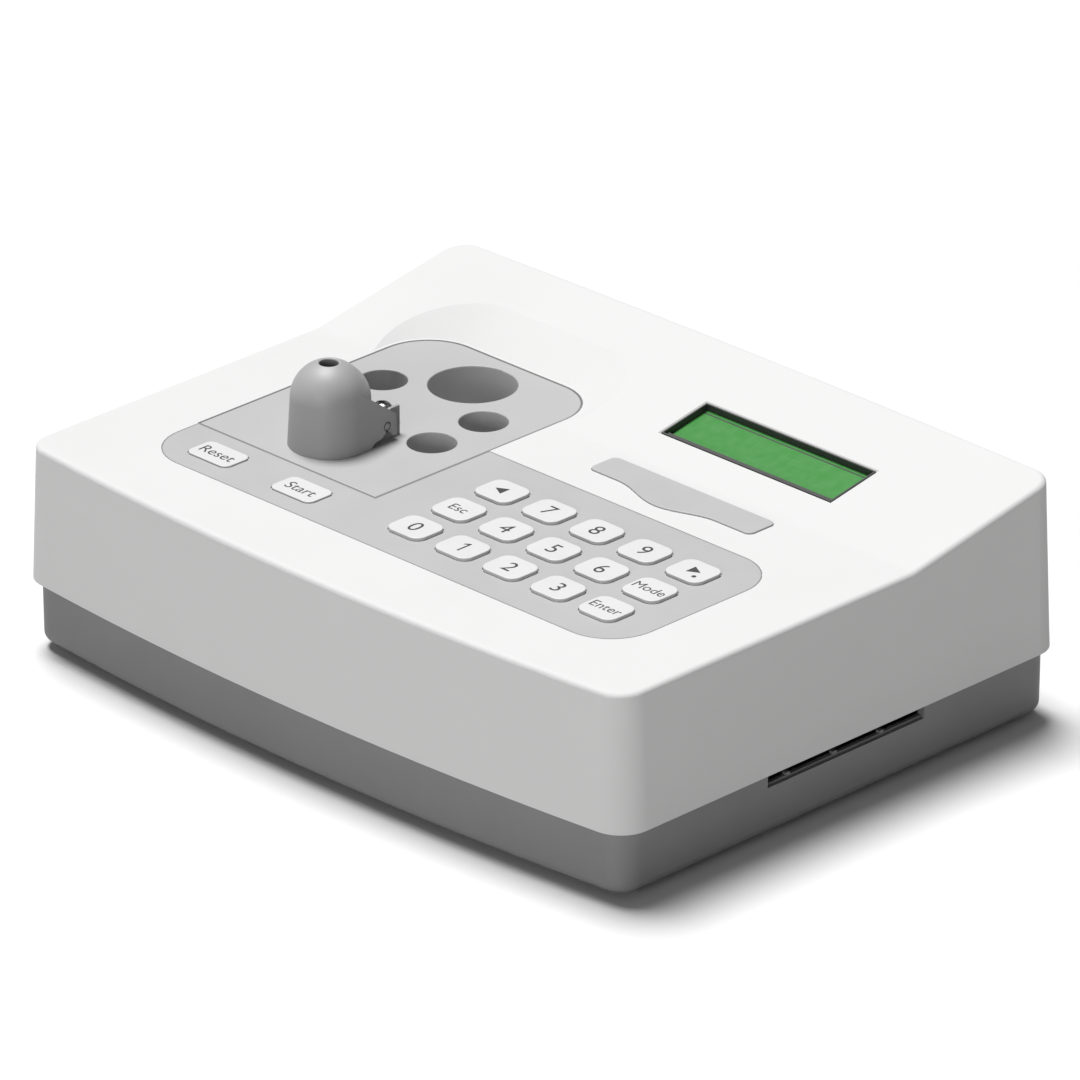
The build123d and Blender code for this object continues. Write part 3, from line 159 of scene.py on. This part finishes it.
def pierced_plate(name, face, lifted_wall, rough):
    """Plate of one grey: that grey on its top face, and a lighter grey on the walls of its holes as painted
    light in the wells.
    """
    n = Nodes(name)
    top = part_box("well_plate")[1][2]
    color_a, color_b, result = 6, 7, 2
    height = n.add("ShaderNodeSeparateXYZ", Vector=n.place).outputs["Z"]
    # mask down from the top face: below it the hole walls take the lighter grey, painted light in the wells
    depth = n.add("ShaderNodeMapRange", Value=height, To_Min=1.0, To_Max=0.0)
    depth.inputs["From Min"].default_value = top - 0.3 * MM
    depth.inputs["From Max"].default_value = top - 0.2 * MM
    cloud = n.noise(26, 4, 0.6)
    mix = n.add("ShaderNodeMix")
    mix.data_type = "RGBA"
    n.put(mix.inputs["Factor"], depth.outputs["Result"])
    n.put(mix.inputs[color_a], n.ramp(cloud, shade(face, 0.988), shade(face, 1.012)))
    n.put(mix.inputs[color_b], n.ramp(cloud, shade(lifted_wall, 0.97), shade(lifted_wall, 1.03)))
    n.set("Base Color", mix.outputs[result])
    n.set("Roughness", n.span(n.noise(70, 5, 0.65), rough - 0.05, rough + 0.06))
    n.set("Normal", n.bump(n.noise(1 / (0.3 * MM), 2, 0.5), 0.008 * MM, 0.6))
    n.shader.inputs["IOR"].default_value = 1.5
    return n.material


def metal(name, color, rough, stretch, scale=900, depth_mm=0.004):
    """Metal with drawn or turned marks along one direction."""
    n = Nodes(name)
    marks = n.noise(scale, 4, 0.6, n.stretched(stretch))
    sheen = n.noise(scale * 0.4, 4, 0.6, n.stretched(stretch))
    n.set("Base Color", n.ramp(marks, shade(color, 0.9), shade(color, 1.06)))
    n.set("Roughness", n.span(sheen, rough - 0.06, rough + 0.08))
    n.set("Normal", n.bump(marks, depth_mm * MM, 0.5))
    n.shader.inputs["Metallic"].default_value = 1.0
    return n.material


def circuit_board(name):
    """Green solder mask over a faint grid of copper tracks."""
    n = Nodes(name)
    tracks = n.add("ShaderNodeTexBrick", Vector=n.place, Scale=220.0)
    tracks.inputs["Color1"].default_value = (0.012, 0.14, 0.05, 1)
    tracks.inputs["Color2"].default_value = (0.016, 0.17, 0.06, 1)
    tracks.inputs["Mortar"].default_value = (0.03, 0.26, 0.1, 1)
    tracks.inputs["Mortar Size"].default_value = 0.05
    n.set("Base Color", tracks.outputs["Color"])
    n.set("Roughness", n.span(n.noise(400), 0.25, 0.4))
    n.set("Normal", n.bump(tracks.outputs["Fac"], 0.00003, 0.5))
    return n.material


def lens_plastic(name, color, rough):
    """Cast epoxy with a little haze."""
    n = Nodes(name)
    n.set("Base Color", n.ramp(n.noise(600), shade(color, 0.9), shade(color, 1.05)))
    n.set("Roughness", n.span(n.noise(900), rough, rough + 0.08))
    n.shader.inputs["Transmission Weight"].default_value = 0.7
    n.shader.inputs["IOR"].default_value = 1.53
    return n.material


def glass_slope():
    """Angle of the display glass to the bench."""
    low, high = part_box("display_glass")
    return math.atan2(high[2] - low[2] - GLASS_MM * MM, high[1] - low[1])


def crystal_panel(name):
    """Green liquid crystal panel: faint character cells under polarising film and glass."""
    n = Nodes(name)
    cells = n.add("ShaderNodeTexBrick", Vector=n.stretched((1, 1, 1), (-glass_slope(), 0, 0)))
    cells.offset = 0.0
    cells.inputs["Scale"].default_value = 1.0
    cells.inputs["Brick Width"].default_value = 3.55 * MM
    cells.inputs["Row Height"].default_value = 5.95 * MM
    cells.inputs["Mortar Size"].default_value = 0.3 * MM
    cells.inputs["Color1"].default_value = (0.036, 0.190, 0.036, 1)
    cells.inputs["Color2"].default_value = (0.036, 0.192, 0.036, 1)
    cells.inputs["Mortar"].default_value = (0.038, 0.199, 0.038, 1)
    n.set("Base Color", cells.outputs["Color"])
    n.set("Roughness", n.span(n.noise(300, 4), 0.32, 0.42))
    n.shader.inputs["Coat Weight"].default_value = 0.25
    n.shader.inputs["Coat Roughness"].default_value = 0.12
    return n.material


def foam(name, color):
    """Closed-cell foam."""
    n = Nodes(name)
    cells = n.add("ShaderNodeTexVoronoi", Vector=n.place, Scale=1400.0)
    n.set("Base Color", n.ramp(cells.outputs["Distance"], shade(color, 0.7), shade(color, 1.3), 0.1, 0.6))
    n.set("Roughness", n.span(n.noise(200), 0.85, 0.95))
    n.set("Normal", n.bump(cells.outputs["Distance"], 0.0002, 0.8))
    return n.material


FINISHES = {
    "cover_plastic": moulded("cover_plastic", (0.50, 0.50, 0.498), 0.7, 0.35, 0.01, 0.006, 0.2),
    "base_plastic": moulded("base_plastic", (0.15, 0.15, 0.15), 0.6, 0.4, 0.018, 0.03),
    # the second, lighter grey is painted light on the walls of the wells
    "plate_plastic": pierced_plate("plate_plastic", (0.335, 0.335, 0.335), (0.52, 0.52, 0.52), 0.55),
    "panel_film": moulded("panel_film", (0.335, 0.335, 0.335), 0.5, 0.25, 0.006, 0.012),
    "name_plastic": moulded("name_plastic", (0.335, 0.335, 0.335), 0.5, 0.25, 0.006, 0.012),
    "key_plastic": moulded("key_plastic", (0.50, 0.50, 0.50), 0.45, 0.3, 0.006, 0.008),
    "shield_plastic": moulded("shield_plastic", (0.28, 0.28, 0.28), 0.5, 0.3, 0.008, 0.02),
    "bracket_plastic": moulded("bracket_plastic", (0.25, 0.25, 0.25), 0.5, 0.3, 0.008, 0.02),
    "black_plastic": moulded("black_plastic", (0.02, 0.02, 0.02), 0.5, 0.3, 0.01, 0.1),
    "black_gloss": moulded("black_gloss", (0.018, 0.018, 0.018), 0.25, 0.4, 0.004, 0.1),
    "ivory_plastic": moulded("ivory_plastic", (0.72, 0.69, 0.60), 0.45, 0.3, 0.01, 0.03),
    "ribbon_plastic": moulded("ribbon_plastic", (0.38, 0.39, 0.40), 0.45, 0.3, 0.01, 0.03),
    "foot_rubber": moulded("foot_rubber", (0.03, 0.03, 0.03), 0.75, 0.5, 0.03, 0.1),
    "heater_film": moulded("heater_film", (0.55, 0.22, 0.05), 0.3, 0.5, 0.01, 0.06),
    "bezel_metal": moulded("bezel_metal", (0.032, 0.032, 0.032), 0.5, 0.3, 0.006, 0.1),
    "rear_panel_metal": moulded("rear_panel_metal", (0.30, 0.30, 0.30), 0.5, 0.5, 0.02, 0.03),
    # well liners: grey lightened as painted light in the wells, as on the plate's hole walls
    "liner_lifted_grey": moulded("liner_lifted_grey", (0.52, 0.52, 0.52), 0.6, 0.4, 0.006, 0.03, 0.2),
    "block_aluminium": metal("block_aluminium", (0.50, 0.50, 0.51), 0.42, (1, 1, 0.05)),
    "steel": metal("steel", (0.52, 0.52, 0.53), 0.32, (1, 1, 0.1)),
    "polished_steel": metal("polished_steel", (0.42, 0.42, 0.43), 0.3, (1, 1, 0.2), 1200, 0.002),
    "circuit_board": circuit_board("circuit_board"),
    "clear_lens": lens_plastic("clear_lens", (0.9, 0.92, 0.9), 0.05),
    "dark_lens": lens_plastic("dark_lens", (0.05, 0.03, 0.06), 0.08),
    "display_glass": crystal_panel("display_glass"),
    "foam": foam("foam", (0.05, 0.05, 0.05)),
}
LEGEND_INK = moulded("legend_ink", (0.035, 0.035, 0.035), 0.5, 0.2, 0.002, 0.1)
# grey of the line along the keypad film's edge: painted shade where the film meets the cover
EDGE_SHADE_INK = moulded("edge_shade_ink", (0.20, 0.20, 0.20), 0.6, 0.2, 0.002, 0.05)
# dark grey of the band in the well plate's groove: painted shade
GROOVE_SHADE = moulded("groove_shade", (0.13, 0.13, 0.13), 0.7, 0.3, 0.004, 0.05)
MASK_INK = moulded("mask_ink", (0.02, 0.02, 0.02), 0.5, 0.2, 0.002, 0.1)

# the well liners take the lightened grey, painted light in the wells
NODE_FINISHES = {"well_liners": "liner_lifted_grey", "hinge_pins": "shield_plastic"}

slots = {part["node"]: part["material_slot"] for part in frame["record"]["subparts"]}
for node_name, node in frame["nodes"].items():
    node.data.materials.clear()
    node.data.materials.append(FINISHES[NODE_FINISHES.get(node_name, slots[node_name])])


# ---------------------------------------------------------------- key legends
INK_MM = 0.02
LEGENDS = {
    "key_escape": "Esc",
    "key_mode": "Mode",
    "key_enter": "Enter",
    "key_reset": "Reset",
    "key_start": "Start",
    **{f"key_{digit}": str(digit) for digit in range(10) if digit != 1},
}
DIGIT_MM = 7.5
WORD_MM = 5.0
WIDE_WORD_MM = 5.6


def piece(name, mesh, material, body):
    """A finished mesh as a piece of the object."""
    obj = bpy.data.objects.new(name, mesh)
    mesh.materials.clear()
    mesh.materials.append(material)
    bpy.context.scene.collection.objects.link(obj)
    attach(obj, body)
    return obj


def lettering(text, size):
    """Mesh of a short word, centred on its own outline, INK_MM thick."""
    curve = bpy.data.curves.new(text, "FONT")
    curve.body = text
    curve.size = size * MM
    curve.extrude = INK_MM * MM / 2
    curve.resolution_u = 6
    carrier = bpy.data.objects.new(text, curve)
    bpy.context.scene.collection.objects.link(carrier)
    bpy.context.view_layer.update()
    mesh = bpy.data.meshes.new_from_object(carrier.evaluated_get(bpy.context.evaluated_depsgraph_get()))
    bpy.data.objects.remove(carrier)
    xs = [v.co.x for v in mesh.vertices]
    ys = [v.co.y for v in mesh.vertices]
    mesh.transform(Matrix.Translation((-(min(xs) + max(xs)) / 2, -(min(ys) + max(ys)) / 2, 0)))
    return mesh


def prism(name, outline):
    """Closed flat prism INK_MM thick on z = 0, from an outline of (x, y) points in millimetres."""
    count = len(outline)
    verts = [(x * MM, y * MM, z * MM) for z in (0, INK_MM) for x, y in outline]
    faces = [tuple(reversed(range(count))), tuple(range(count, 2 * count))]
    faces += [(i, (i + 1) % count, count + (i + 1) % count, count + i) for i in range(count)]
    mesh = bpy.data.meshes.new(name)
    mesh.from_pydata(verts, [], faces)
    return mesh


def key_top(node):
    """Middle of a key's top face."""
    low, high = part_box(node)
    return Vector(((low[0] + high[0]) / 2, (low[1] + high[1]) / 2, high[2]))


def legend(mesh, key, x=0.0, y=0.0):
    """Mesh laid on a key's top face, x and y millimetres from its middle."""
    mesh.transform(Matrix.Translation(key_top(key) + Vector((x * MM, y * MM, LIFT))))
    piece(f"legend_{mesh.name}", mesh, LEGEND_INK, key[4:] + "_key")


for key, word in LEGENDS.items():
    wide = key in ("key_reset", "key_start")
    size = DIGIT_MM if len(word) == 1 else WIDE_WORD_MM if wide else WORD_MM
    mesh = lettering(word, size)
    mesh.transform(Matrix.Translation((0, 0, INK_MM * MM / 2)))
    legend(mesh, key)

# the figure one, with its flag
FLAGGED_ONE = [
    (0.25, -2.7),
    (0.85, -2.7),
    (0.85, 2.7),
    (0.35, 2.7),
    (-0.95, 1.75),
    (-0.95, 1.1),
    (0.25, 1.8),
]
legend(prism("one", FLAGGED_ONE), "key_1")

# arrow heads that step through the results, and a decimal point beside the right one
legend(prism("back", [(-1.85, 0), (1.85, -2), (1.85, 2)]), "key_left", -0.92, 0.14)
legend(prism("forward", [(1.87, 0), (-1.87, 2), (-1.87, -2)]), "key_right", 0.63, 0.28)
POINT_MM = 0.7
POINT_SIDES = 20
point_turns = [2 * math.pi * i / POINT_SIDES for i in range(POINT_SIDES)]
ring = [(POINT_MM * math.cos(turn), POINT_MM * math.sin(turn)) for turn in point_turns]
legend(prism("point", ring), "key_right", 2.73, -2.58)


# ---------------------------------------------------------------- painted shade lines round the well plate and keypad film, and display mask
CORNER_STEPS = 12


def rounded(corners, inset):
    """Outline in millimetres through (x, y, radius) corners of square turns, set in by inset."""
    points = []
    for i, (x, y, radius) in enumerate(corners):
        here = Vector((x, y))
        before = (Vector(corners[i - 1][:2]) - here).normalized()
        after = (Vector(corners[(i + 1) % len(corners)][:2]) - here).normalized()
        inward = 1 if after.cross(before) > 0 else -1
        here += inward * inset * (before + after)
        radius -= inset if radius else 0
        centre = here + radius * (before + after)
        for step in range(CORNER_STEPS + 1 if radius else 1):
            turn = math.pi / 2 / CORNER_STEPS * step
            points.append(centre - radius * (after * math.cos(turn) + before * math.sin(turn)))
    return points


def border(name, corners, insets, height, thick, material):
    """Closed band between two insets of an outline, thick millimetres deep below height."""
    loops = [rounded(corners, inset) for inset in insets]
    count = len(loops[0])
    levels = (height - thick * MM, height)
    verts = [(p.x * MM, p.y * MM, z) for z in levels for loop in loops for p in loop]
    faces = []
    for i in range(count):
        j = (i + 1) % count
        outer, inner, outer_top, inner_top = (k * count for k in range(4))
        faces.append((outer + j, outer + i, inner + i, inner + j))
        faces.append((outer_top + i, outer_top + j, inner_top + j, inner_top + i))
        faces.append((outer + i, outer + j, outer_top + j, outer_top + i))
        faces.append((inner + j, inner + i, inner_top + i, inner_top + j))
    mesh = bpy.data.meshes.new(name)
    mesh.from_pydata(verts, [], faces)
    piece(name, mesh, material, "case")


PLATE_R = 15.5
PANEL_R = 15.0
PANEL_GAP = 0.62
plate_low, plate_high = ([v / MM for v in corner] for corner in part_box("well_plate"))
panel_low, panel_high = ([v / MM for v in corner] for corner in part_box("keypad_panel"))
plate_corners = [
    (plate_low[0], plate_low[1], 0),
    (plate_high[0], plate_low[1], 0),
    (plate_high[0], plate_high[1], PLATE_R),
    (plate_low[0], plate_high[1], PLATE_R),
]
panel_corners = [
    (panel_low[0], panel_low[1], PANEL_R),
    (panel_high[0], panel_low[1], PANEL_R),
    (panel_high[0], panel_high[1], PANEL_R),
    (plate_high[0] + PANEL_GAP, panel_high[1], 0),
    (plate_high[0] + PANEL_GAP, plate_low[1] - PANEL_GAP, 0),
    (panel_low[0], plate_low[1] - PANEL_GAP, 0),
]
# dark band sunk in the groove round the well plate: painted shade in the groove
GROOVE_SHADE_INSETS = (-0.46, -0.03)
GROOVE_SHADE_DROP_MM = 0.1
GROOVE_SHADE_DEPTH_MM = 0.6
groove_shade_top = (plate_high[2] - GROOVE_SHADE_DROP_MM) * MM
border("plate_groove_shade", plate_corners, GROOVE_SHADE_INSETS, groove_shade_top, GROOVE_SHADE_DEPTH_MM, GROOVE_SHADE)

# dark band just inside the keypad film's edge: painted shade of the seam with the cover
EDGE_SHADE_INSETS = (0.02, 0.26)
EDGE_SHADE_RISE_MM = 0.015
EDGE_SHADE_THICK_MM = 0.012
edge_shade_top = (panel_high[2] + EDGE_SHADE_RISE_MM) * MM
border("panel_edge_shade", panel_corners, EDGE_SHADE_INSETS, edge_shade_top, EDGE_SHADE_THICK_MM, EDGE_SHADE_INK)

# dark line printed on the display glass in front of its back edge
MASK_X = 31.7
MASK_Y = (7.0, 7.5)
glass_low, glass_high = (Vector(corner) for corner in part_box("display_glass"))
slope = glass_slope()
glass_normal = Vector((0, -math.sin(slope), math.cos(slope)))
mask_outline = [(-MASK_X, MASK_Y[0]), (MASK_X, MASK_Y[0]), (MASK_X, MASK_Y[1]), (-MASK_X, MASK_Y[1])]
mask = prism("display_mask", mask_outline)
glass_face = (glass_low + glass_high) / 2 + glass_normal * (GLASS_MM * MM / 2 + LIFT)
mask.transform(Matrix.Translation(glass_face) @ Matrix.Rotation(slope, 4, "X"))
piece("display_mask", mask, MASK_INK, "case")


# ---------------------------------------------------------------- floor and light
FLOOR_HALF = 6


def make_floor():
    """Pale studio floor."""
    mesh = bpy.data.meshes.new("floor")
    corners = [(x * FLOOR_HALF, y * FLOOR_HALF, 0) for x, y in ((-1, -1), (1, -1), (1, 1), (-1, 1))]
    mesh.from_pydata(corners, [], [(0, 1, 2, 3)])
    floor = bpy.data.objects.new("floor", mesh)
    mesh.materials.append(moulded("floor_paper", (0.58, 0.58, 0.58), 0.8, 3.0, 0.02, 0.004))
    bpy.context.scene.collection.objects.link(floor)


def area_light(name, place, aim, size, power):
    """Soft square light aimed at a point."""
    data = bpy.data.lights.new(name, "AREA")
    data.shape = "SQUARE"
    data.size = size
    data.energy = power
    light = bpy.data.objects.new(name, data)
    light.location = place
    light.rotation_euler = (Vector(aim) - Vector(place)).to_track_quat("-Z", "Y").to_euler()
    bpy.context.scene.collection.objects.link(light)


def overhead_light(strength, angle, lean, swing):
    """Light from above, angle degrees wide, leaning back from the camera, swing degrees to its left."""
    data = bpy.data.lights.new("overhead", "SUN")
    data.energy = strength
    data.angle = math.radians(angle)
    light = bpy.data.objects.new("overhead", data)
    light.location = (0, 0, 1)
    tilt = math.radians(lean)
    bearing = AZIMUTH + math.radians(swing)
    reach = math.sin(tilt)
    source = Vector((-math.sin(bearing) * reach, math.cos(bearing) * reach, math.cos(tilt)))
    light.rotation_euler = source.to_track_quat("Z", "Y").to_euler()
    bpy.context.scene.collection.objects.link(light)


make_floor()
overhead_light(strength=5.3, angle=24, lean=14, swing=36)
FILL_PLACE = (0.75, -1.95, 0.42)
FILL_AIM = (0, 0, 0.04)
area_light("front_fill", FILL_PLACE, FILL_AIM, size=0.9, power=17)

world = bpy.data.worlds.new("world")
world.use_nodes = True
world.node_tree.nodes["Background"].inputs["Color"].default_value = (1, 1, 1, 1)
world.node_tree.nodes["Background"].inputs["Strength"].default_value = 0.12
bpy.context.scene.world = world
bpy.context.scene.view_settings.view_transform = "Standard"
